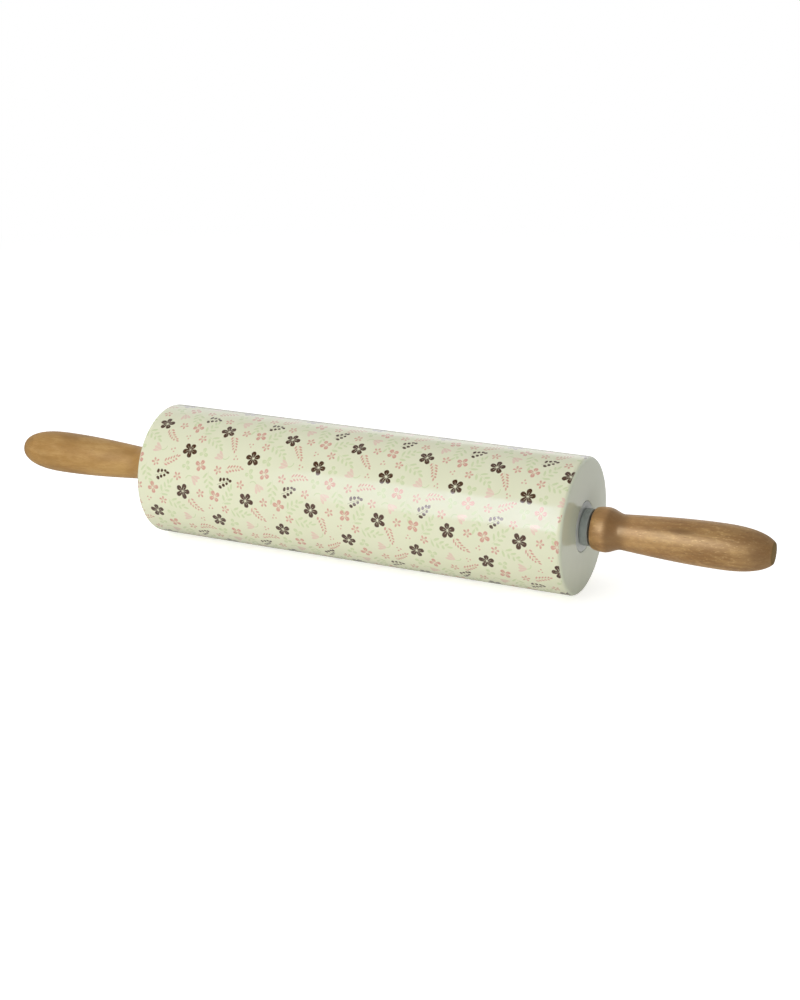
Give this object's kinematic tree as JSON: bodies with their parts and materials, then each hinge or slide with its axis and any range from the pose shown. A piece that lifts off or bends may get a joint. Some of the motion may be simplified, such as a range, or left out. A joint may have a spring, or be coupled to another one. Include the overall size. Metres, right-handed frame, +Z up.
{
  "type": "rolling pin",
  "caption": "Rolling pin with a hollow glazed ceramic barrel that turns freely on a steel axle held between turned wooden handles, for rolling out pastry and dough.",
  "frame": {"origin": "on the table under the middle of the barrel, where the barrel touches the table", "axes": "+X along the axle towards the right-hand handle, +Z up, -Y towards the person who looks at the printed side"},
  "size_m": [0.4298, 0.07, 0.07],
  "materials": {
    "glazed_ceramic": "gloss",
    "bush_plastic": "satin",
    "seal_rubber": "matte",
    "axle_steel": "satin",
    "collar_steel": "satin",
    "washer_fibre": "matte",
    "insert_brass": "satin",
    "handle_wood": "satin"
  },
  "bodies": {
    "handles": {"axle": "axle_steel", "left_collar": "collar_steel", "right_collar": "collar_steel", "left_washer": "washer_fibre", "right_washer": "washer_fibre", "left_insert": "insert_brass", "right_insert": "insert_brass", "left_handle": "handle_wood", "right_handle": "handle_wood"},
    "roller": {"barrel": "glazed_ceramic", "left_bush": "bush_plastic", "right_bush": "bush_plastic", "left_seal_ring": "seal_rubber", "right_seal_ring": "seal_rubber"}
  },
  "joints": [
    {"name": "barrel_spin", "type": "hinge", "parent": "handles", "child": "roller", "pos_m": [0, 0, 0.035], "axis": [1, 0, 0], "continuous": true}
  ]
}
